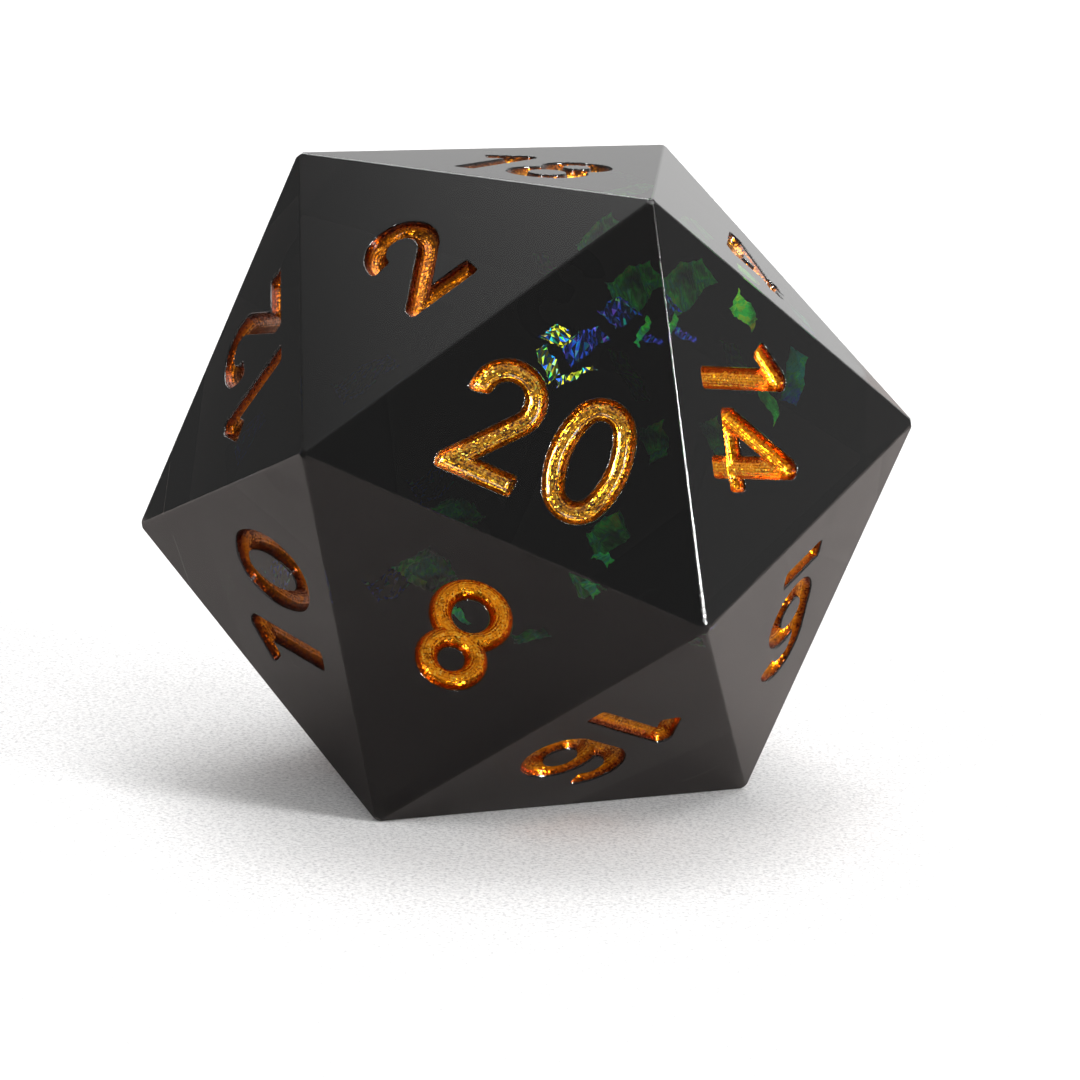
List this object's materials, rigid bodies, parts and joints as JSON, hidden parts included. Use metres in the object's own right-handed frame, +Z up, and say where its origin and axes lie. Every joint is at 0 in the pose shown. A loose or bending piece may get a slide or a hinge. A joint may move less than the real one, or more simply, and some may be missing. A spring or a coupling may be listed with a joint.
{
  "type": "polyhedral die",
  "caption": "Icosahedral gaming die in smoky see-through resin, with engraved numerals filled with gold paint and iridescent film flakes cast inside.",
  "frame": {"origin": "in the plane of the rest face (number 3), under the middle of the body", "axes": "+Z up through the middle of the top face (number 18); +X at the corner of the rest face shared by 6 and 16, below the corner shared by 4, 6 and 14; +Y along one edge of the top face, towards the 5"},
  "size_m": [0.0246, 0.0214, 0.02],
  "materials": {
    "smoke_resin": "polished",
    "gold_paint": "satin",
    "iridescent_film": "polished"
  },
  "bodies": {
    "root": {"film_flake_01": "iridescent_film", "film_flake_02": "iridescent_film", "film_flake_03": "iridescent_film", "film_flake_04": "iridescent_film", "film_flake_05": "iridescent_film", "film_flake_06": "iridescent_film", "film_flake_07": "iridescent_film", "film_flake_08": "iridescent_film", "film_flake_09": "iridescent_film", "film_flake_10": "iridescent_film", "film_flake_11": "iridescent_film", "film_flake_12": "iridescent_film", "film_flake_13": "iridescent_film", "film_flake_14": "iridescent_film", "film_flake_15": "iridescent_film", "film_flake_16": "iridescent_film", "film_flake_17": "iridescent_film", "film_flake_18": "iridescent_film", "film_flake_19": "iridescent_film", "film_flake_20": "iridescent_film", "paint_01_digit": "gold_paint", "paint_02_digit": "gold_paint", "paint_03_digit": "gold_paint", "paint_04_digit": "gold_paint", "paint_05_digit": "gold_paint", "paint_06_bar": "gold_paint", "paint_06_digit": "gold_paint", "paint_07_digit": "gold_paint", "paint_08_digit": "gold_paint", "paint_09_bar": "gold_paint", "paint_09_digit": "gold_paint", "paint_10_tens": "gold_paint", "paint_10_units": "gold_paint", "paint_11_tens": "gold_paint", "paint_11_units": "gold_paint", "paint_12_tens": "gold_paint", "paint_12_units": "gold_paint", "paint_13_tens": "gold_paint", "paint_13_units": "gold_paint", "paint_14_tens": "gold_paint", "paint_14_units": "gold_paint", "paint_15_tens": "gold_paint", "paint_15_units": "gold_paint", "paint_16_tens": "gold_paint", "paint_16_units": "gold_paint", "paint_17_tens": "gold_paint", "paint_17_units": "gold_paint", "paint_18_tens": "gold_paint", "paint_18_units": "gold_paint", "paint_19_tens": "gold_paint", "paint_19_units": "gold_paint", "paint_20_tens": "gold_paint", "paint_20_units": "gold_paint", "resin_body": "smoke_resin"}
  },
  "joints": []
}
